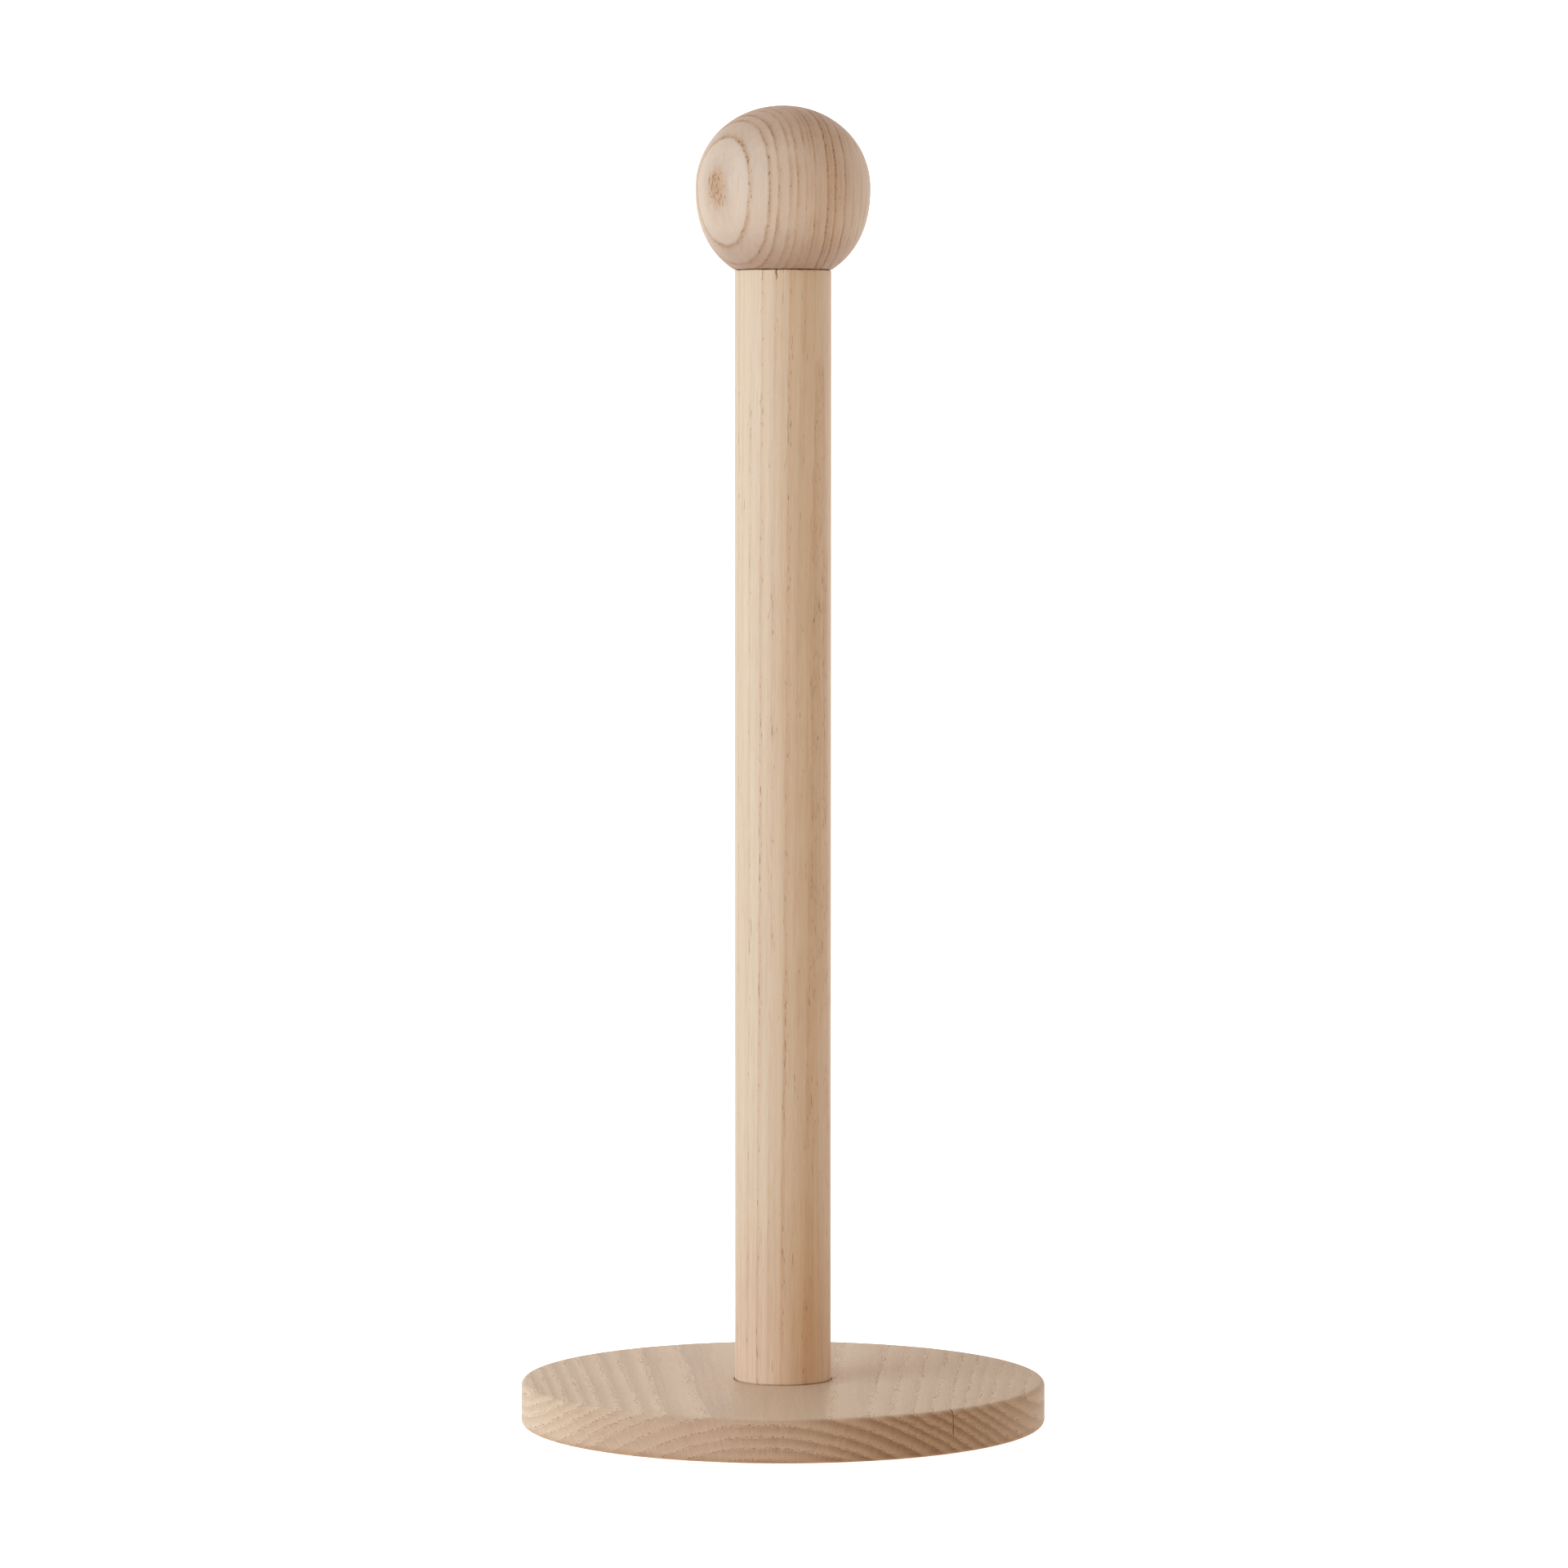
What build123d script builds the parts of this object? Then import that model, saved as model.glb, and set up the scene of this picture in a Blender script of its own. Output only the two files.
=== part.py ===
from build123d import *
import os
from math import acos, cos, pi, radians, sin, sqrt

# A free-standing paper towel holder of turned ash: a round base, an upright post socketed into it and drawn
# down by one screw from below, and a ball finial that screws off the post so that a tight roll can go on.
# The base's axis is +Z, and the pads on its underside stand on z = 0. All sizes are in millimetres.

# Base
base_diameter = 120.0
base_thickness = 10.0
base_edge_radius = 1.2
socket_depth = 4.0
socket_clearance = 0.05

# Pads under the base
pad_diameter = 12.0
pad_thickness = 1.5
pad_edge_radius = 0.3
pad_circle_diameter = 88.0
pad_count = 4

# Post, whose height is what stands above the base
post_diameter = 22.0
post_height = 253.5
post_edge_radius = 0.4

# Ball finial: its widest circle lies seat_to_widest above its flat seat and widest_to_crown below its top
ball_diameter = 39.8
seat_to_widest = 18.4
widest_to_crown = 18.65
underside_squareness = 2.23
crown_squareness = 2.03
outline_points = 12
seat_overhang = 0.3
seat_edge_radius = 0.25
seat_gap = 0.25
bore_bottom_gap = 1.0

# Thread of the base screw and of the finial stud, which has this diameter all along
thread_diameter = 6.0
thread_pitch = 1.0
thread_depth = 0.6
thread_clearance = 0.05
crest_share = 0.1

# Countersunk screw through the base
screw_length = 20.0
screw_hole_clearance = 0.3
head_diameter = 12.0
head_rim = 0.4
head_recess = 0.3
hex_across_flats = 4.0
hex_depth = 2.3

# Slotted brass inserts, one in each end of the post
insert_diameter = 10.0
insert_root_diameter = 8.6
insert_length = 15.0
insert_turns = 6
slot_width = 1.2
slot_depth = 1.4
drill_point_gap = 3.0

# Finial stud, a hanger bolt: a machine thread below a plain collar, and a wood thread above it
stud_engagement = 14.0
collar_length = 2.0
wood_thread_length = 16.0
wood_thread_depth = 0.8
wood_thread_turns = 8
stud_running_clearance = 0.03

# How far a cutting solid runs past the face it opens
overshoot = 1.0

# Heights worked out from the sizes above
underside = pad_thickness
seat_of_roll = underside + base_thickness
socket_floor = seat_of_roll - socket_depth
post_top = seat_of_roll + post_height
ball_seat = post_top + seat_gap
ball_widest = ball_seat + seat_to_widest
screw_tip = underside + head_recess + screw_length
stud_tip = ball_seat - stud_engagement
wood_thread_start = ball_seat + collar_length / 2 + wood_thread_depth


def turned(*outline):
    """Solid of revolution about Z from a closed outline of (radius, height) corners."""
    corners = [(radius, 0, height) for radius, height in outline]
    return revolve(make_face(Polyline(*corners, close=True)), Axis.Z)


def ridges(crest, depth, pitch, start, turns):
    """Outline of a thread drawn as rings: (radius, height) corners from start upwards, root to root."""
    root = crest - depth
    flank = pitch * (1 - crest_share) / 2
    corners = [(root, start)]
    for turn in range(turns):
        foot = start + turn * pitch
        corners.append((crest, foot + flank))
        corners.append((crest, foot + pitch - flank))
        corners.append((root, foot + pitch))
    return corners


def circles_of_radius(shape, radius):
    """The circular edges of a shape that have this radius."""
    edges = shape.edges().filter_by(GeomType.CIRCLE)
    return edges.filter_by(lambda edge: abs(edge.radius - radius) < 1e-3)


def rod_between(radius, bottom, top):
    """Round rod on the Z axis between two heights."""
    return turned((0, bottom), (radius, bottom), (radius, top), (0, top))


def base():
    """Disc with softened rims, a socket for the post and a countersunk hole for the screw."""
    radius = base_diameter / 2
    disc = rod_between(radius, underside, seat_of_roll)
    disc = fillet(circles_of_radius(disc, radius), base_edge_radius)
    socket = rod_between(post_diameter / 2 + socket_clearance, socket_floor, seat_of_roll + overshoot)
    hole = (thread_diameter + screw_hole_clearance) / 2
    head = head_diameter / 2 + screw_hole_clearance / 2
    head_seat = underside + head_recess + head_rim
    countersink = turned(
        (0, underside - overshoot),
        (head, underside - overshoot),
        (head, head_seat),
        (hole, head_seat + head - hole),
        (hole, socket_floor + overshoot),
        (0, socket_floor + overshoot),
    )
    return disc - socket - countersink


def foot_pad(turn):
    """Round anti-slip pad stuck to the underside, on the pad circle at a given angle in degrees."""
    pad = Cylinder(pad_diameter / 2, pad_thickness, align=(Align.CENTER, Align.CENTER, Align.MIN))
    floor_edge = pad.edges().filter_by(GeomType.CIRCLE).sort_by(Axis.Z)[0]
    pad = fillet(floor_edge, pad_edge_radius)
    reach = pad_circle_diameter / 2
    return Pos(reach * cos(radians(turn)), reach * sin(radians(turn)), 0) * pad


def insert_body(face, inwards):
    """Outside of a threaded insert whose slotted face lies at height face; inwards is +1 or -1 along Z."""
    crest = insert_diameter / 2
    depth = (insert_diameter - insert_root_diameter) / 2
    rings = ridges(crest, depth, insert_length / insert_turns, 0, insert_turns)
    outline = [(0, 0)] + rings + [(0, insert_length)]
    return turned(*[(radius, face + inwards * height) for radius, height in outline])


def insert(face, inwards):
    """Slotted brass insert. Its plain bore stands for the female thread."""
    body = insert_body(face, inwards)
    low, high = sorted((face, face + inwards * insert_length))
    bore = rod_between(thread_diameter / 2 + thread_clearance, low - overshoot, high + overshoot)
    slot = Pos(0, 0, face) * Box(2 * insert_diameter, slot_width, 2 * slot_depth)
    return body - bore - slot


def post():
    """Round post, drilled at each end for an insert, with the wood cut to the insert's own outline."""
    radius = post_diameter / 2
    rod = rod_between(radius, socket_floor, post_top)
    rod = fillet(circles_of_radius(rod, radius), post_edge_radius)
    drill = insert_root_diameter / 2
    lower_end = max(socket_floor + insert_length, screw_tip) + drill_point_gap
    upper_end = min(post_top - insert_length, stud_tip) - drill_point_gap
    rod -= insert_body(socket_floor, 1)
    rod -= insert_body(post_top, -1)
    rod -= turned(
        (0, socket_floor), (drill, socket_floor), (drill, lower_end), (0, lower_end + drill / sqrt(3))
    )
    rod -= turned((0, post_top), (drill, post_top), (drill, upper_end), (0, upper_end - drill / sqrt(3)))
    return rod


def base_screw():
    """Countersunk machine screw with a hexagon socket, its head just inside the underside of the base."""
    head_face = underside + head_recess
    head = head_diameter / 2
    crest = thread_diameter / 2
    cone_top = head_face + head_rim + head - crest
    turns = int((screw_tip - cone_top - thread_depth) / thread_pitch)
    thread_start = screw_tip - turns * thread_pitch
    screw = turned(
        (0, head_face),
        (head, head_face),
        (head, head_face + head_rim),
        (crest, cone_top),
        (crest, thread_start - thread_depth),
        *ridges(crest, thread_depth, thread_pitch, thread_start, turns),
        (0, screw_tip),
    )
    corner_radius = hex_across_flats / sqrt(3)
    socket = extrude(RegularPolygon(corner_radius, 6), hex_depth)
    return screw - Pos(0, 0, head_face) * socket


def finial_stud():
    """Hanger bolt: machine thread in the post's insert, collar at the seam, wood thread in the ball."""
    crest = thread_diameter / 2
    collar_bottom = ball_seat - collar_length / 2
    turns = int((collar_bottom - stud_tip - thread_depth) / thread_pitch)
    pitch = wood_thread_length / wood_thread_turns
    wood_root = crest - wood_thread_depth
    return turned(
        (0, stud_tip),
        *ridges(crest, thread_depth, thread_pitch, stud_tip, turns),
        (crest, stud_tip + turns * thread_pitch + thread_depth),
        (crest, wood_thread_start - wood_thread_depth),
        *ridges(crest, wood_thread_depth, pitch, wood_thread_start, wood_thread_turns),
        (0, wood_thread_start + wood_thread_length + wood_root),
    )


def quarter_outline(height, squareness, last_angle):
    """Spline points of a superellipse from the ball's widest circle inwards, as (radius, rise)."""
    power = 2 / squareness
    angles = [last_angle * step / outline_points for step in range(outline_points + 1)]
    return [(ball_diameter / 2 * abs(cos(angle)) ** power, height * sin(angle) ** power) for angle in angles]


def finial_ball():
    """Ball, very nearly round, whose full underside ends in a flat seat just wider than the post."""
    widest = ball_diameter / 2
    seat = post_diameter / 2 + seat_overhang
    # The underside is a superellipse whose height makes it meet the seat's plane at the seat's radius.
    open_share = (seat / widest) ** underside_squareness
    underside_height = seat_to_widest / (1 - open_share) ** (1 / underside_squareness)
    seat_angle = acos(sqrt(open_share))
    lower = Spline(
        *[
            (radius, 0, ball_widest - drop)
            for radius, drop in reversed(quarter_outline(underside_height, underside_squareness, seat_angle))
        ],
        tangents=[
            (
                (seat_to_widest / underside_height) ** (underside_squareness - 1) / underside_height,
                0,
                (seat / widest) ** (underside_squareness - 1) / widest,
            ),
            (0, 0, 1),
        ],
    )
    # The upper half is a superellipse too, a circle whose shoulders stand very slightly proud.
    upper = Spline(
        *[
            (radius, 0, ball_widest + rise)
            for radius, rise in quarter_outline(widest_to_crown, crown_squareness, pi / 2)[:-1]
        ],
        (0, 0, ball_widest + widest_to_crown),
        tangents=[(0, 0, 1), (-1, 0, 0)],
    )
    outline = Polyline(upper @ 1, (0, 0, ball_seat), lower @ 0)
    ball = revolve(make_face(lower + upper + outline), Axis.Z)
    ball = fillet(circles_of_radius(ball, seat), seat_edge_radius)
    # The bore clears the stud by a running clearance.
    crest = thread_diameter / 2
    bore_end = wood_thread_start + wood_thread_length + crest + bore_bottom_gap
    return ball - rod_between(crest + stud_running_clearance, ball_seat - overshoot, bore_end)


pieces = {
    "base": base(),
    "post": post(),
    "finial_ball": finial_ball(),
    "finial_stud": finial_stud(),
    "base_screw": base_screw(),
    "lower_insert": insert(socket_floor, 1),
    "upper_insert": insert(post_top, -1),
}
for index in range(pad_count):
    pieces[f"foot_pad_{index + 1}"] = foot_pad(360 * (index + 0.5) / pad_count)

os.makedirs("parts", exist_ok=True)
for name, shape in pieces.items():
    export_step(shape, f"parts/{name}.step")
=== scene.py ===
import math

import bmesh
import bpy
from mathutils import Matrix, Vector, noise


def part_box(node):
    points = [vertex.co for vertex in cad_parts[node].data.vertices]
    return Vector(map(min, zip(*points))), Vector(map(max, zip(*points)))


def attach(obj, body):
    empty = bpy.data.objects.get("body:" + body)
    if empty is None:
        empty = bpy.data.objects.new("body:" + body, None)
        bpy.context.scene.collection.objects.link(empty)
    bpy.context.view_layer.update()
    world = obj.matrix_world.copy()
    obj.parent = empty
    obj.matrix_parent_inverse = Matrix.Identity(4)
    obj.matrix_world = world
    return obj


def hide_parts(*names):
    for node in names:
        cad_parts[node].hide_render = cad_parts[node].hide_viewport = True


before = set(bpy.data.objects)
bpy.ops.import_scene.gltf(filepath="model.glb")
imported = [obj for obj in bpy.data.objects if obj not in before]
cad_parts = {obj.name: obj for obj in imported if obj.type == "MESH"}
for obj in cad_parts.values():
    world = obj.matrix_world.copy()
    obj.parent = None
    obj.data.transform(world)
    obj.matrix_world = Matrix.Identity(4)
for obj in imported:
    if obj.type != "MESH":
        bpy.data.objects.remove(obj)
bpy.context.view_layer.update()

# A turned ash paper towel holder: base, post, ball finial and their fixings.

MM = 0.001


def cad_box(node):
    """Lowest and highest corner of a CAD piece, in millimetres."""
    low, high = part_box(node)
    return low / MM, high / MM


base_low, base_high = cad_box("base")
post_low, post_high = cad_box("post")
ball_low, ball_high = cad_box("finial_ball")
stud_low, stud_high = cad_box("finial_stud")

base_radius = (base_high.x - base_low.x) / 2
post_radius = (post_high.x - post_low.x) / 2
ball_radius = (ball_high.x - ball_low.x) / 2


# ---------------------------------------------------------------- shader maths

class Value:
    """A shader socket that Python arithmetic works on; each operation adds its Math node."""

    def __init__(self, finish, socket):
        self.finish = finish
        self.socket = socket

    def maths(self, operation, *others):
        return self.finish.node("Math", {"operation": operation}, [self, *others])

    def __add__(self, other):
        return self.maths("ADD", other)

    def __sub__(self, other):
        return self.maths("SUBTRACT", other)

    def __rsub__(self, other):
        return self.finish.node("Math", {"operation": "SUBTRACT"}, [other, self])

    def __mul__(self, other):
        return self.maths("MULTIPLY", other)

    def __truediv__(self, other):
        return self.maths("DIVIDE", other)

    def __pow__(self, other):
        return self.maths("POWER", other)

    def __gt__(self, other):
        return self.maths("GREATER_THAN", other)

    def __abs__(self):
        return self.maths("ABSOLUTE")

    __radd__ = __add__
    __rmul__ = __mul__

    def rise(self, low, high):
        """0 below low, 1 above high, and an eased step between them; it falls where low is above high."""
        settings = {"interpolation_type": "SMOOTHSTEP"}
        if low < high:
            return self.finish.node("MapRange", settings, [self, low, high, 0.0, 1.0])
        return self.finish.node("MapRange", settings, [self, high, low, 1.0, 0.0])


class Finish:
    """A material of nodes: its Principled shader, and the one way that other nodes are added."""

    def __init__(self, name, **fixed):
        self.material = bpy.data.materials.new(name)
        self.material.use_nodes = True
        self.tree = self.material.node_tree
        self.shader = self.tree.nodes["Principled BSDF"]
        for socket, value in fixed.items():
            self.shader.inputs[socket.replace("_", " ")].default_value = value

    def join(self, source, socket):
        """Links a value into a socket, or sets the socket where it is a plain number or colour."""
        if isinstance(source, Value):
            self.tree.links.new(source.socket, socket)
        else:
            socket.default_value = source

    def node(self, kind, settings=None, inputs=(), output=0):
        """Adds a node of a type. Its settings come first, then its sockets, by place or by name."""
        node = self.tree.nodes.new("ShaderNode" + kind)
        for name, value in (settings or {}).items():
            if name == "stops":
                ramp = node.color_ramp.elements
                while len(ramp) < len(value):
                    ramp.new(1.0)
                for element, (position, colour) in zip(ramp, value):
                    element.position = position
                    element.color = (*colour, 1.0)
            else:
                setattr(node, name, value)
        for key, value in inputs.items() if isinstance(inputs, dict) else enumerate(inputs):
            self.join(value, node.inputs[key])
        return Value(self, node.outputs[output])

    def place(self):
        """The spot on the piece in millimetres. It stays with the piece as it moves."""
        spot = self.node("TexCoord", output="Object")
        return self.node("VectorMath", {"operation": "SCALE"}, {"Vector": spot, "Scale": 1 / MM})

    def along(self, vector, direction):
        """How far a vector reaches in a direction."""
        return self.node("VectorMath", {"operation": "DOT_PRODUCT"}, [vector, direction], "Value")

    def point(self, x, y, z):
        return self.node("CombineXYZ", None, [x, y, z])

    def cloud(self, point, size, detail=1.0, roughness=0.5):
        """Smooth noise from -1 to 1 with lumps of a size in the point's units."""
        inputs = {"Vector": point, "Scale": 1 / size, "Detail": detail, "Roughness": roughness}
        return self.node("TexNoise", None, inputs) * 2 - 1

    def mix(self, factor, first, second, blend="MIX"):
        """Colour mix, from first at 0 to second at 1."""
        settings = {"data_type": "RGBA", "blend_type": blend, "clamp_factor": True}
        return self.node("Mix", settings, {0: factor, 6: first, 7: second}, 2)

    def ramp(self, value, *stops):
        return self.node("ValToRGB", {"stops": stops}, [value])

    def emboss(self, height, depth):
        """Feeds a height, in units of depth millimetres, to the surface's normal."""
        bump = self.node("Bump", None, {"Height": height, "Distance": depth * MM})
        self.join(bump, self.shader.inputs["Normal"])


class Surround(Finish):
    """The world's nodes, with its background in the shader's place."""

    def __init__(self, name):
        self.world = bpy.data.worlds.new(name)
        self.world.use_nodes = True
        self.tree = self.world.node_tree
        self.shader = self.tree.nodes["Background"]


def tint(code):
    """Linear colour of a hex sRGB code, with alpha."""
    channels = [int(code[i:i + 2], 16) / 255 for i in (0, 2, 4)]
    return tuple(c / 12.92 if c <= 0.04045 else ((c + 0.055) / 1.055) ** 2.4 for c in channels) + (1.0,)


# ---------------------------------------------------------------- ash

def ash(name, pith, grain, rings, tones, wander, line, early, late, porous_tint, porous_share, pores,
        pore_width, pore_length, pore_dark, pit, dashes, streaks, mottle, gloss=0.58, shine=0.3, rays=0.0,
        taper=0.0, painted_shading=(), end_shade=(0.78, 0.68, 0.63), late_side=None, crack=None):
    """Solid ash, cut through wherever the piece's surface lies.

    pith is a point on the tree's centre line and grain is that line's direction. rings gives, for each
    year, the distance from the pith at which its growth starts, with open pores, and how strongly that
    start is marked; each year ends in denser wood. tones are the palest, middle and darkest colours of the
    wood. porous_tint is the colour that the start of a year takes, and porous_share how much of it. wander
    is how far the rings stray, and taper how fast they close up along the grain. line, early and late
    darken the line where a year starts, the porous wood after it and the dense wood at its end. pores is
    how thickly open pores lie there, pore_width and pore_length are a pore's width and its length over its
    width, pore_dark is how dark pores look, pit how deep they are in millimetres, and dashes how many long
    pores lie elsewhere. streaks, mottle and rays are the strengths of the fibres' streaks, of the broad
    unevenness of tone and of the rays that run out from the pith. gloss is the roughness between pores and
    shine the strength of reflections. shades lists painted light and shade: gradual changes of colour that
    stand in for light falling on the piece, each a direction, how far along it one starts and is complete,
    and the colour it multiplies by. end_shade is the colour that end grain multiplies by. late_side is a
    direction in which the dense wood of the end grain gets darker. crack is the bearing, in degrees to the
    right of the front, of a hairline crack in the rim, and its lower end; the crack is a slight dent, and
    its dark colour is painted shade.
    """
    wood = Finish(name, Specular_IOR_Level=shine)
    grain = Vector(grain).normalized()
    side = grain.cross((0.0, 0.0, 1.0)) if abs(grain.z) < 0.7 else grain.orthogonal()
    side.normalize()
    spot = wood.place()
    out = wood.node("VectorMath", {"operation": "SUBTRACT"}, [spot, tuple(pith)])
    a, b, c = (wood.along(out, tuple(axis)) for axis in (side, grain.cross(side), grain))
    if taper:
        a = a * (c * -taper + 1)

    def stretched(length):
        """Coordinates in which everything is drawn out along the grain."""
        return wood.point(a, b, c / length)

    # Each ring strays slowly over the piece and ripples finely.
    slow = wood.cloud(stretched(5.0), 22.0)
    ripple = wood.cloud(stretched(3.0), 1.7, 2.0)
    radius = (a * a + b * b) ** 0.5 + slow * wander + ripple * (0.5 * wander)

    # The year that a spot lies in: where it starts, how wide it is and how strongly it is marked.
    distances = [distance for distance, strength in rings]
    strengths = [strength for distance, strength in rings]
    start, width, marked = distances[0], distances[1] - distances[0], strengths[0]
    for year in range(1, len(rings) - 1):
        before, here, after = distances[year - 1:year + 2]
        passed = radius > here
        start = passed * (here - before) + start
        width = passed * (after - 2 * here + before) + width
        marked = passed * (strengths[year] - strengths[year - 1]) + marked
    depth = radius - start
    share = depth / width

    # Parts of a year, from its start outwards: the edge line, the porous wood and the dense wood.
    patch = wood.cloud(stretched(2.5), 4.0, 2.0)
    lively = (marked + patch * 0.7).rise(-0.1, 1.1)
    porous = depth.rise(-0.02, 0.12) * depth.rise(1.0, 0.3)
    edge = share.rise(0.9, 1.0) * 0.5 + depth.rise(0.55, 0.0) * (depth.rise(-0.1, 0.15) * 0.5 + 0.5)
    after_edge = depth.rise(0.0, 0.25) * depth.rise(2.4, 0.3)
    dense = share.rise(0.15, 0.9) * share.rise(1.02, 0.96)

    # Fibres, and how squarely the surface cuts across them.
    fine = wood.cloud(stretched(24.0), 0.24, 2.0)
    broad = wood.cloud(stretched(60.0), 1.1, 2.0)
    uneven = wood.cloud(stretched(3.0), 16.0, 1.0)
    facing = wood.node("TexCoord", output="Normal")
    end = abs(wood.along(facing, tuple(grain)))
    if late_side:
        darker = wood.along(spot, late_side).rise(-28.0, 38.0)
        dense = dense * (end * (darker * 0.75 + 0.1) + (1 - darker * 0.6) * (1 - end) * 0.34)
    tone = edge * lively * line + after_edge * lively * early + dense * late
    if rays:
        turn = a.maths("ARCTAN2", b) * distances[len(rings) // 2]
        ray = wood.cloud(wood.point(turn, radius / 9, c / 14), 0.45, 1.0)
        tone = tone + ray * rays * (end * 0.85 + 0.15)
    tone = tone + fine * streaks + broad * streaks + uneven * mottle + 0.42

    # Pores are threads along the grain: crowded just after a year starts, scattered elsewhere.
    thread = wood.cloud(stretched(pore_length), pore_width * 1.7)
    long_thread = wood.cloud(stretched(pore_length * 2.0), pore_width * 2.2)
    crowd = wood.cloud(stretched(4.0), 2.6, 1.0)
    open_pore = (thread + porous * lively * pores).rise(0.52, 0.74)
    dash = (long_thread + crowd * 0.25 + porous * 0.06 + dashes).rise(0.6, 0.74)

    pale, middle, dark = tones
    colour = wood.ramp(tone, (0.0, tint(pale)[:3]), (0.45, tint(middle)[:3]), (1.0, tint(dark)[:3]))
    colour = wood.mix(porous * lively * porous_share, colour, tint(porous_tint))
    # Painted light and shade: each entry multiplies the colour along a direction, standing in for light
    # falling on the piece.
    for direction, none, full, shade in painted_shading:
        colour = wood.mix(wood.along(spot, direction).rise(none, full), colour, (*shade, 1.0), "MULTIPLY")
    colour = wood.mix(end.rise(0.3, 1.0), colour, (*end_shade, 1.0), "MULTIPLY")
    colour = wood.mix(open_pore * pore_dark, colour, tint("7E5540"))
    colour = wood.mix(dash * 0.7, colour, tint("7A4F38"))
    hollow = open_pore * pit + dash * 0.08
    if crack:
        x, y, z = (wood.along(spot, axis) for axis in ((1, 0, 0), (0, 1, 0), (0, 0, 1)))
        reach = (x * x + y * y) ** 0.5
        astray = wood.cloud(spot, 1.6, 2.0) * 0.5 + (z - crack[1]) * 0.02
        off = abs((x.maths("ARCTAN2", -1 * y) - math.radians(crack[0])) * reach + astray)
        # The crack is only a slight dent; its dark colour is painted shade.
        split = off.rise(0.13, 0.05) * reach.rise(58.6, 59.0) * (z + astray).rise(crack[1], crack[1] + 0.6)
        colour = wood.mix(split * 0.8, colour, tint("5A3A26"))
        hollow = hollow + split * 0.15
    wood.join(colour, wood.shader.inputs["Base Color"])
    wood.join(open_pore * 0.2 + fine * 0.05 + gloss, wood.shader.inputs["Roughness"])
    wood.emboss(fine * 0.02 + dense * 0.01 - hollow, 1.0)
    return wood.material


ball_wood = ash(
    "ball ash",
    pith=(-43.7 * 0.754, -43.7 * 0.657, 283.0),
    grain=(0.0, 0.02, 1.0),
    rings=((20.0, 0.5), (23.55, 1.0), (27.4, 0.7), (31.3, 0.6), (33.2, 0.65), (35.7, 0.4), (37.3, 0.5),
           (39.4, 0.35), (40.6, 0.25), (41.5, 0.5), (42.5, 0.2), (44.5, 0.9), (45.4, 0.3), (46.4, 0.9),
           (47.6, 0.2), (49.0, 0.7), (50.1, 0.15), (51.4, 0.4), (52.4, 0.15), (54.0, 0.4), (56.0, 0.3),
           (58.5, 0.3), (62.0, 0.3), (66.0, 0.3)),
    tones=("DBC7B1", "C4A88F", "7F614A"), porous_tint="B5814F", porous_share=0.5,
    wander=0.6, line=0.24, early=0.1, late=-0.04, pores=0.42, pore_width=0.14, pore_length=4.0,
    pore_dark=0.75, pit=0.1, dashes=0.03, streaks=0.09, mottle=0.06,
    # Painted shade: the ball gets darker towards its seat on the post.
    painted_shading=(((0, 0, 1), 279.0, 266.0, (0.82, 0.8, 0.8)),),
)
post_wood = ash(
    "post ash",
    pith=(-0.77 * 55.0, 0.64 * 55.0, 140.0),
    grain=(0.004, -0.003, 1.0),
    rings=((40.0, 0.5), (46.0, 0.4), (50.6, 0.7), (55.0, 0.5), (57.9, 0.9), (60.6, 0.4), (62.9, 0.8),
           (64.5, 0.3), (65.6, 0.7), (67.5, 0.4), (70.0, 0.5)),
    tones=("DFCAAE", "CBAE90", "8B674B"), porous_tint="C4966C", porous_share=0.35,
    wander=0.45, line=0.1, early=0.03, late=0.0, pores=0.29, pore_width=0.115, pore_length=12.0,
    pore_dark=0.6, pit=0.08, dashes=0.07, streaks=0.15, mottle=0.05,
    # Painted light: the post gets warmer and brighter towards its foot, standing in for light bounced off
    # the base.
    painted_shading=(((0, 0, 1), 70.0, 0.0, (1.12, 1.02, 0.95)),),
)
base_wood = ash(
    "base ash",
    pith=(-3.0, -60.0, -45.0),
    grain=(-0.02, 1.0, 0.01),
    rings=((41.5, 0.8), (44.4, 0.9), (47.2, 0.8), (49.8, 1.0), (52.2, 0.8), (54.8, 0.9), (57.8, 0.7),
           (60.6, 0.9), (62.6, 0.8), (64.6, 0.9), (66.8, 0.7), (68.6, 0.9), (70.6, 0.8), (72.4, 0.7),
           (74.2, 0.8), (76.2, 0.6), (78.4, 0.8), (81.0, 0.7), (84.0, 0.7)),
    tones=("DBC6AA", "C8A98B", "74553B"), porous_tint="DEBC9B", porous_share=0.45,
    wander=0.6, line=0.1, early=-0.05, late=0.4, pores=0.5, pore_width=0.16, pore_length=5.0, pore_dark=0.2,
    pit=0.18, dashes=-0.08, streaks=0.07, mottle=0.05, gloss=0.5, shine=0.1, rays=0.12, taper=0.0014,
    end_shade=(0.79, 0.72, 0.69), late_side=(1.0, 0.0, 0.0), crack=(39.2, 5.5),
    # Painted shade: the base gets darker towards its right side and towards its bottom edge.
    painted_shading=(((1, 0, 0), -15.0, 62.0, (0.78, 0.73, 0.66)), ((0, 0, 1), 3.4, 1.4, (0.78, 0.68, 0.6))),
)


# ---------------------------------------------------------------- metal and rubber

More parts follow.
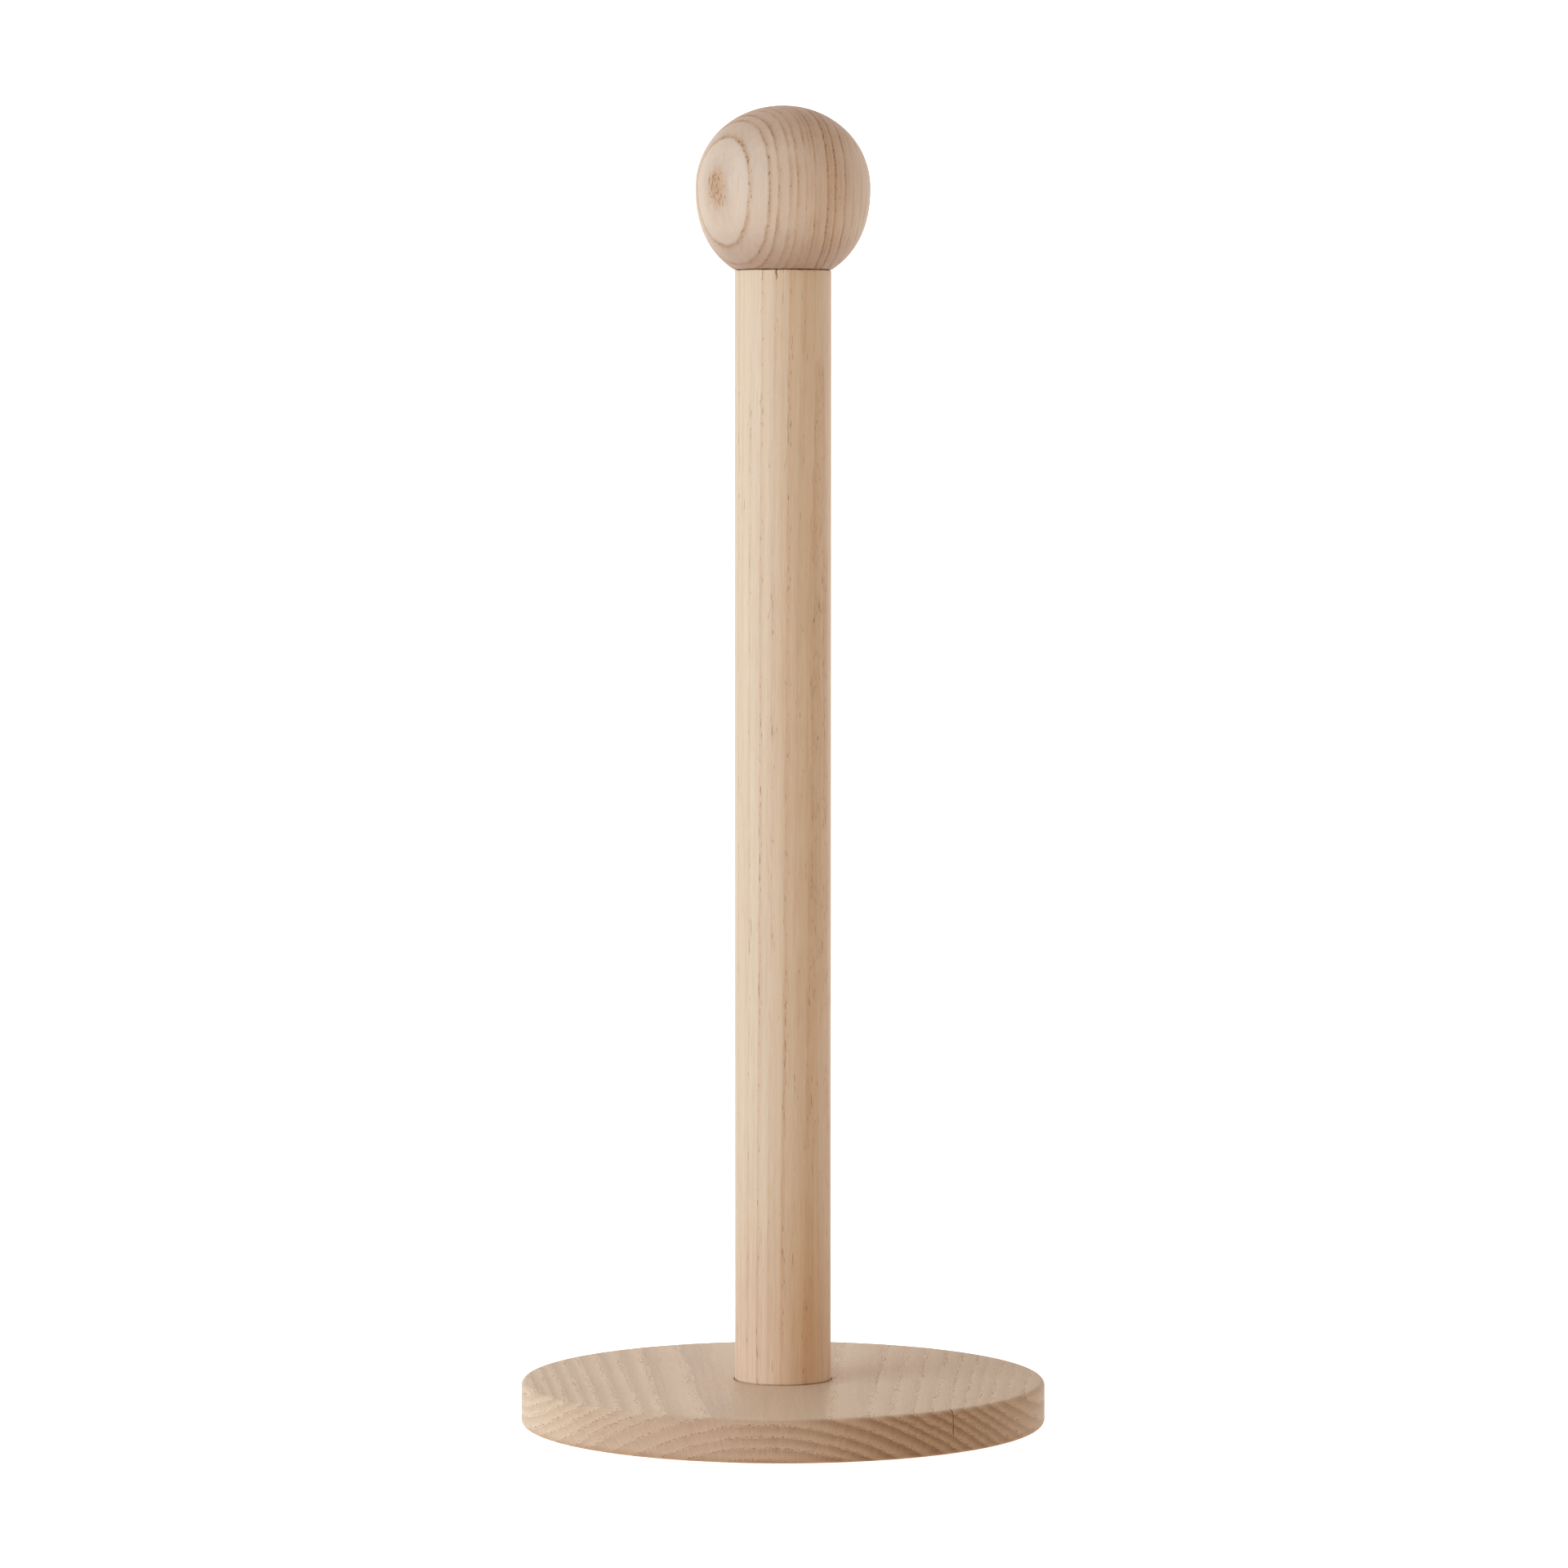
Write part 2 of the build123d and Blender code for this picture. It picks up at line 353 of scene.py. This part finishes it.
def zinc_steel():
    """Bright zinc plating with turning marks round the axis and a mottled spangle."""
    metal = Finish("zinc plated steel", Metallic=1.0)
    spot = metal.place()
    x, y, z = (metal.along(spot, axis) for axis in ((1, 0, 0), (0, 1, 0), (0, 0, 1)))
    radius = (x * x + y * y) ** 0.5
    marks = metal.cloud(metal.point(radius, 0.0, z), 0.06, 2.0)
    bloom = metal.cloud(spot, 1.4, 3.0)
    colour = metal.mix(bloom * 0.5 + 0.5, tint("B9BCC0"), tint("A3A49F"))
    metal.join(colour, metal.shader.inputs["Base Color"])
    metal.join(0.3 + marks * 0.08 + bloom * 0.06, metal.shader.inputs["Roughness"])
    metal.emboss(marks + bloom * 0.3, 0.004)
    return metal.material


def insert_brass():
    """Turned brass with fine tool marks and slightly tarnished patches."""
    metal = Finish("insert brass", Metallic=1.0)
    spot = metal.place()
    x, y, z = (metal.along(spot, axis) for axis in ((1, 0, 0), (0, 1, 0), (0, 0, 1)))
    radius = (x * x + y * y) ** 0.5
    marks = metal.cloud(metal.point(radius, 0.0, z), 0.08, 2.0)
    tarnish = metal.cloud(spot, 1.1, 3.0)
    colour = metal.mix(tarnish * 0.5 + 0.5, tint("D2AE62"), tint("A98545"))
    metal.join(colour, metal.shader.inputs["Base Color"])
    metal.join(0.32 + marks * 0.1, metal.shader.inputs["Roughness"])
    metal.emboss(marks, 0.005)
    return metal.material


def pad_rubber():
    """Dark rubber with a fine moulded grain and a little dust."""
    rubber = Finish("pad rubber", Specular_IOR_Level=0.4)
    spot = rubber.place()
    pebble = rubber.cloud(spot, 0.35, 2.0)
    dust = rubber.cloud(spot, 3.0, 3.0)
    colour = rubber.mix(dust.rise(0.1, 0.9) * 0.5, tint("35322F"), tint("5A554F"))
    rubber.join(colour, rubber.shader.inputs["Base Color"])
    rubber.join(0.75 + dust * 0.08, rubber.shader.inputs["Roughness"])
    rubber.emboss(pebble, 0.03)
    return rubber.material


# ---------------------------------------------------------------- meshes

def turned_mesh(name, profile, segments, shape=None):
    """A surface turned about Z from a profile of (radius, height), whose outside lies to the right of the
    profile's run. It is closed where the profile starts and ends on the axis or meets itself. shape may
    move a point: it is given the radius, angle and height, and returns the radius and height."""
    rings, vertices, faces = [], [], []
    for radius, height in profile:
        if radius < 1e-6:
            rings.append([len(vertices)])
            vertices.append((0.0, 0.0, height * MM))
            continue
        ring = []
        for step in range(segments):
            angle = 2 * math.pi * step / segments
            r, h = shape(radius, angle, height) if shape else (radius, height)
            ring.append(len(vertices))
            vertices.append((r * math.cos(angle) * MM, r * math.sin(angle) * MM, h * MM))
        rings.append(ring)
    for low, high in zip(rings, rings[1:]):
        for step in range(segments):
            after = (step + 1) % segments
            if len(low) == 1:
                faces.append((low[0], high[after], high[step]))
            elif len(high) == 1:
                faces.append((low[step], low[after], high[0]))
            else:
                faces.append((low[step], low[after], high[after], high[step]))
    mesh = bpy.data.meshes.new(name)
    mesh.from_pydata(vertices, [], faces)
    solid = bmesh.new()
    solid.from_mesh(mesh)
    bmesh.ops.remove_doubles(solid, verts=solid.verts, dist=1e-7)
    bmesh.ops.dissolve_degenerate(solid, edges=solid.edges, dist=1e-7)
    solid.to_mesh(mesh)
    solid.free()
    mesh.validate()
    mesh.polygons.foreach_set("use_smooth", [True] * len(mesh.polygons))
    mesh.set_sharp_from_angle(angle=math.radians(40))
    piece = bpy.data.objects.new(name, mesh)
    bpy.context.scene.collection.objects.link(piece)
    return piece


def fit(piece, node, body, material):
    """Puts a finished piece in the place of its CAD piece."""
    piece.data.materials.append(material)
    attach(piece, body)
    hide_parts(node)


def arc(centre, radius, start, end, steps):
    """Points of an arc about a centre (radius, height), between two angles in degrees."""
    angles = [math.radians(start + (end - start) * i / steps) for i in range(steps + 1)]
    return [(centre[0] + radius * math.cos(t), centre[1] + radius * math.sin(t)) for t in angles]


def line(start, end, steps):
    """Points from start up to but not including end."""
    return [
        (start[0] + (end[0] - start[0]) * i / steps, start[1] + (end[1] - start[1]) * i / steps)
        for i in range(steps)
    ]


def make_ball():
    seat_to_widest = 18.4
    widest_to_crown = 18.65
    crown_squareness = 2.03
    underside_squareness = 2.23
    seat = post_radius + 0.3
    edge = 0.18
    bore = 3.03
    bore_depth = 21.8
    widest = ball_low.z + seat_to_widest
    bottom = ball_low.z - 0.12
    open_share = (seat / ball_radius) ** underside_squareness
    underside_height = seat_to_widest / (1 - open_share) ** (1 / underside_squareness)
    seat_angle = math.acos(math.sqrt(open_share))
    profile = [(0.0, bottom + bore_depth), (bore, bottom + bore_depth)]
    profile += line((bore, bottom + bore_depth - 0.2), (bore, bottom + 0.3), 8)
    profile += [(bore, bottom + 0.3), (bore + 0.3, bottom)]
    profile += line((bore + 0.6, bottom), (seat - edge, bottom), 10)
    profile += [(seat - edge, bottom), (seat - edge * 0.35, bottom + edge * 0.12)]
    for step in range(1, 73):
        angle = seat_angle * (1 - step / 72)
        radius = ball_radius * math.cos(angle) ** (2 / underside_squareness)
        profile.append((radius, widest - underside_height * math.sin(angle) ** (2 / underside_squareness)))
    for step in range(1, 96):
        angle = math.pi / 2 * step / 96
        radius = ball_radius * math.cos(angle) ** (2 / crown_squareness)
        profile.append((radius, widest + widest_to_crown * math.sin(angle) ** (2 / crown_squareness)))
    profile.append((0.0, ball_high.z))

    def uneven_seat(radius, angle, height):
        if height < bottom + 0.3 and radius > seat - 1.0:
            height += 0.07 * noise.noise(Vector((math.cos(angle) * 5, math.sin(angle) * 5, 0.0)))
        return radius, height

    piece = turned_mesh("ball_turned", profile, 320, uneven_seat)
    fit(piece, "finial_ball", "finial", ball_wood)


def bearing(angle):
    """Degrees round the holder from its front, to the right of a viewer, for an angle from +X."""
    return (math.degrees(angle) + 90 + 180) % 360 - 180


def post_surface(radius, angle, height):
    """Small faults at the top of the turned post: a split, a few torn fibres and an uneven end."""
    split_bearing, split_length, split_half, split_depth = -7.5, 3.2, 0.24, 0.8
    torn_length, torn_depth, torn_least = 1.2, 0.55, 0.28
    end_length, end_drop = 0.35, 0.1
    if radius < post_radius - 1.0:
        return radius, height
    from_top = post_high.z - height
    outwards = Vector((math.cos(angle), math.sin(angle), 0.0))
    if from_top < split_length:
        fade = 1 - from_top / split_length
        astray = bearing(angle) - split_bearing + 0.5 * math.sin(from_top * 3.0)
        off = abs(math.radians(astray)) * post_radius
        if off < split_half * fade:
            radius -= split_depth * (1 - off / (split_half * fade)) * fade
    if from_top < torn_length:
        torn = noise.noise(outwards * 22 + Vector((0.0, 0.0, from_top * 1.2)))
        radius -= max(0.0, torn - torn_least) * torn_depth * (1 - from_top / torn_length)
        if from_top < end_length:
            height -= max(0.0, noise.noise(outwards * 9 + Vector((0.0, 0.0, 4.0)))) * end_drop
    return radius, height


def make_post():
    drill, drill_depth = 4.3, 18.0
    edge = 0.25
    faults = 3.4
    low, high = post_low.z, post_high.z
    foot = base_high.z
    groove = post_radius - 0.3
    profile = [(0.0, low + drill_depth), (drill, low + drill_depth)]
    profile += line((drill, low + drill_depth - 1.0), (drill, low), 4)
    profile += [(drill, low), (post_radius * 0.6, low), (post_radius - edge - 0.3, low)]
    profile += arc((post_radius - edge, low + edge), edge, -90, 0, 4)
    # A fine groove is scribed where the post meets the base.
    profile += [(post_radius, foot - 0.1), (groove, foot - 0.08)]
    profile += [(groove, foot + 0.16), (post_radius, foot + 0.2)]
    profile += line((post_radius, foot + 0.8), (post_radius, high - faults), 24)
    profile += line((post_radius, high - faults), (post_radius, high - edge - 0.05), 20)
    profile += arc((post_radius - edge, high - edge), edge, 0, 90, 8)
    profile += [(post_radius - edge - 0.3, high), (post_radius * 0.75, high), (5.0, high), (drill, high)]
    profile += line((drill, high - 0.5), (drill, high - drill_depth + 1.0), 4)
    profile += [(drill, high - drill_depth), (0.0, high - drill_depth)]
    piece = turned_mesh("post_turned", profile, 560, post_surface)
    fit(piece, "post", "holder", post_wood)


def make_base():
    edge = 1.2
    socket = post_radius + 0.05
    floor = post_low.z
    low, high = base_low.z, base_high.z
    hole = 3.15
    head, head_rim = 6.15, 0.7
    profile = [(head, low), (head, low + head_rim), (hole, low + head_rim + head - hole), (hole, floor)]
    profile += line((hole + 0.5, floor), (socket, floor), 4)
    profile += [(socket, floor), (socket, high - 0.6), (socket + 0.1, high - 0.3)]
    profile += [(socket + 0.22, high - 0.08), (socket + 0.42, high)]
    profile += line((socket + 1.0, high), (base_radius - edge, high), 24)
    profile += arc((base_radius - edge, high - edge), edge, 90, 0, 10)
    profile += line((base_radius, high - edge - 0.4), (base_radius, low + edge), 6)
    profile += arc((base_radius - edge, low + edge), edge, 0, -90, 10)
    profile += line((base_radius - edge - 1.0, low), (head + 0.3, low), 24)
    profile += [(head + 0.3, low), (head, low)]
    profile.reverse()
    piece = turned_mesh("base_turned", profile, 512)
    fit(piece, "base", "holder", base_wood)


def ridge(turns):
    """Height of a thread's ridge, 0 to 1, a number of turns along it."""
    return min(1.0, 1.1 * (1 - abs(2 * (turns % 1.0) - 1)))


def make_stud():
    """Hanger bolt with a rolled machine thread below its collar and a coarse wood thread above it."""
    crest, depth, pitch = 3.0, 0.6, 1.0
    wood_depth, wood_pitch = 0.8, 2.0
    tip, top = stud_low.z, stud_high.z
    collar_low, collar_high = ball_low.z - 1.0, ball_low.z + 1.0
    wood_end = top - (crest - wood_depth)

    def threads(radius, angle, height):
        turn = angle / (2 * math.pi)
        if radius < crest - 0.01:
            return radius, height
        if height < collar_low:
            fade = min(1.0, (collar_low - height) / 1.2)
            groove = depth * (1 - ridge((height - tip) / pitch - turn)) * fade
            chamfer = crest - depth - 0.2 + (height - tip) * 1.1
            return min(radius - groove, chamfer), height
        if height > collar_high:
            fade = min(1.0, (height - collar_high) / 0.8)
            sharp = ridge((height - collar_high) / wood_pitch - turn) ** 1.6
            narrowing = min(1.0, (wood_end - height) / 3.0)
            return crest - wood_depth * fade * (1 - sharp * narrowing), height
        return radius, height

    profile = [(0.0, tip), (1.4, tip), (2.15, tip)]
    profile += line((crest, tip + 0.05), (crest, collar_low), 150)
    profile += line((crest, collar_low), (crest, collar_high), 4)
    profile += line((crest, collar_high), (crest, wood_end), 120)
    profile += line((crest - wood_depth, wood_end), (0.0, top), 6)
    profile.append((0.0, top))
    piece = turned_mesh("stud_threaded", profile, 64, threads)
    fit(piece, "finial_stud", "stud", steel)


def make_insert(node, face, inwards):
    """Brass insert with a coarse outer thread, a fine inner one, and a screwdriver slot across its face."""
    crest, depth, length, turns_outside = 5.0, 0.7, 15.0, 6
    bore, bore_depth, bore_pitch = 3.05, 0.35, 1.0
    slot_half, slot_depth = 0.6, 1.4

    def cut(radius, angle, along):
        turn = angle / (2 * math.pi)
        if abs(radius * math.sin(angle)) < slot_half:
            along = max(along, slot_depth)
        if radius > crest - 0.01:
            fade = max(0.0, min(1.0, along / 0.8, (length - along) / 1.2))
            radius -= depth * (1 - fade * ridge(along * turns_outside / length - turn))
        elif radius < bore + 0.01:
            fade = min(1.0, along / 0.6, (length - along) / 0.6)
            radius += bore_depth * fade * ridge(along / bore_pitch - turn)
        return radius, face + inwards * along

    outer = crest - depth
    profile = [(bore + 0.02, 0.0), (3.5, 0.0), (3.9, 0.0), (outer - 0.1, 0.0), (outer, 0.1)]
    profile += line((crest, 0.2), (crest, length), 110)
    profile += [(outer, length), (3.6, length)]
    profile += line((bore, length), (bore, 0.0), 140)
    profile += [(bore, 0.05), (bore + 0.02, 0.0)]
    if inwards < 0:
        profile.reverse()
    piece = turned_mesh(node + "_threaded", profile, 96, cut)
    fit(piece, node, "holder", brass)


steel = zinc_steel()
brass = insert_brass()
rubber = pad_rubber()
make_ball()
make_post()
make_base()
make_stud()
make_insert("upper_insert", post_high.z, -1)
make_insert("lower_insert", post_low.z, 1)
for node, material in {
    "base_screw": steel,
    "foot_pad_1": rubber,
    "foot_pad_2": rubber,
    "foot_pad_3": rubber,
    "foot_pad_4": rubber,
}.items():
    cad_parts[node].data.materials.clear()
    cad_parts[node].data.materials.append(material)


# ---------------------------------------------------------------- studio

def white_sheet(name, strength):
    """White paper that nearly glows, and is clear from behind."""
    paper = Finish(name, Roughness=0.9, Specular_IOR_Level=0.0, Base_Color=(0.92, 0.92, 0.92, 1.0))
    paper.join((1.0, 1.0, 1.0, 1.0), paper.shader.inputs["Emission Color"])
    paper.join(strength, paper.shader.inputs["Emission Strength"])
    behind = paper.node("NewGeometry", output="Backfacing")
    clear = paper.node("BsdfTransparent")
    one_sided = paper.node("MixShader", None, [behind, Value(paper, paper.shader.outputs[0]), clear])
    paper.join(one_sided, paper.tree.nodes["Material Output"].inputs["Surface"])
    return paper.material


def stand(piece, material):
    """Makes a piece part of the studio: seen, also in reflections, but lighting and shading nothing."""
    piece.data.materials.append(material)
    piece.visible_diffuse = False
    piece.visible_shadow = False


def make_floor():
    """A pale floor that bends up behind the holder, inside a white wall all round."""
    reach, back, top, bend = 6.0, 3.0, 5.0, 1.5
    section = [(-reach, 0.0), (back - bend, 0.0)]
    section += [
        (back - bend + bend * math.sin(t), bend - bend * math.cos(t))
        for t in [math.pi / 2 * i / 24 for i in range(1, 25)]
    ]
    section.append((back, top))
    vertices = [(x, y, z) for y, z in section for x in (-reach, reach)]
    faces = [(2 * i, 2 * i + 1, 2 * i + 3, 2 * i + 2) for i in range(len(section) - 1)]
    mesh = bpy.data.meshes.new("floor")
    mesh.from_pydata(vertices, [], faces)
    mesh.polygons.foreach_set("use_smooth", [True] * len(mesh.polygons))
    floor = bpy.data.objects.new("floor", mesh)
    bpy.context.scene.collection.objects.link(floor)
    stand(floor, white_sheet("pale floor", 0.95))
    wall = turned_mesh("wall", [(5000.0, 5000.0), (5000.0, -10.0)], 64)
    stand(wall, white_sheet("white wall", 1.1))
    wall.visible_glossy = False


def make_light(name, azimuth, elevation, distance, size, power, colour):
    """A soft box at an azimuth in degrees to the right of the front, aimed at the middle of the post."""
    light = bpy.data.lights.new(name, "AREA")
    light.shape = "RECTANGLE"
    light.size, light.size_y = size
    light.energy = power
    light.color = colour
    lamp = bpy.data.objects.new(name, light)
    bpy.context.scene.collection.objects.link(lamp)
    a, e = math.radians(azimuth), math.radians(elevation)
    aim = Vector((0.0, 0.0, 0.15))
    away = Vector((math.sin(a) * math.cos(e), -math.cos(a) * math.cos(e), math.sin(e)))
    lamp.location = aim + away * distance
    lamp.rotation_mode = "QUATERNION"
    lamp.rotation_quaternion = away.to_track_quat("Z", "Y")
    lamp.visible_camera = False


def make_surround():
    """Soft light from all round: white from below, a dimmer white from above, and a warm band between."""
    surround = Surround("surround")
    direction = surround.node("TexCoord", output="Generated")
    height = surround.along(direction, (0.0, 0.0, 0.5)) + 0.5
    colour = surround.ramp(
        height, (0.0, (1.1, 1.13, 1.16)), (0.22, (1.08, 1.08, 1.08)), (0.38, (0.66, 0.48, 0.28)),
        (0.62, (0.64, 0.46, 0.26)), (0.8, (0.7, 0.68, 0.66)), (1.0, (0.71, 0.69, 0.68)),
    )
    surround.join(colour, surround.shader.inputs["Color"])
    bpy.context.scene.world = surround.world


def make_camera():
    camera = bpy.data.cameras.new("camera")
    camera.lens = 146.6
    camera.sensor_width = 36.0
    camera.clip_start, camera.clip_end = 0.01, 50.0
    eye = bpy.data.objects.new("camera", camera)
    eye.location = (0.00024, -1.455, 0.232)
    looks_down = 3.3
    eye.rotation_euler = (math.radians(90 - looks_down), 0.0, 0.0)
    bpy.context.scene.collection.objects.link(eye)
    bpy.context.scene.camera = eye


make_floor()
make_surround()
make_light("key", -60, 15, 2.0, (1.6, 1.4), 47.0, (0.48, 0.72, 1.0))
make_light("edge", 112, 12, 2.0, (0.8, 1.4), 9.0, (0.25, 0.6, 1.0))
make_camera()
bpy.context.scene.view_settings.view_transform = "Standard"
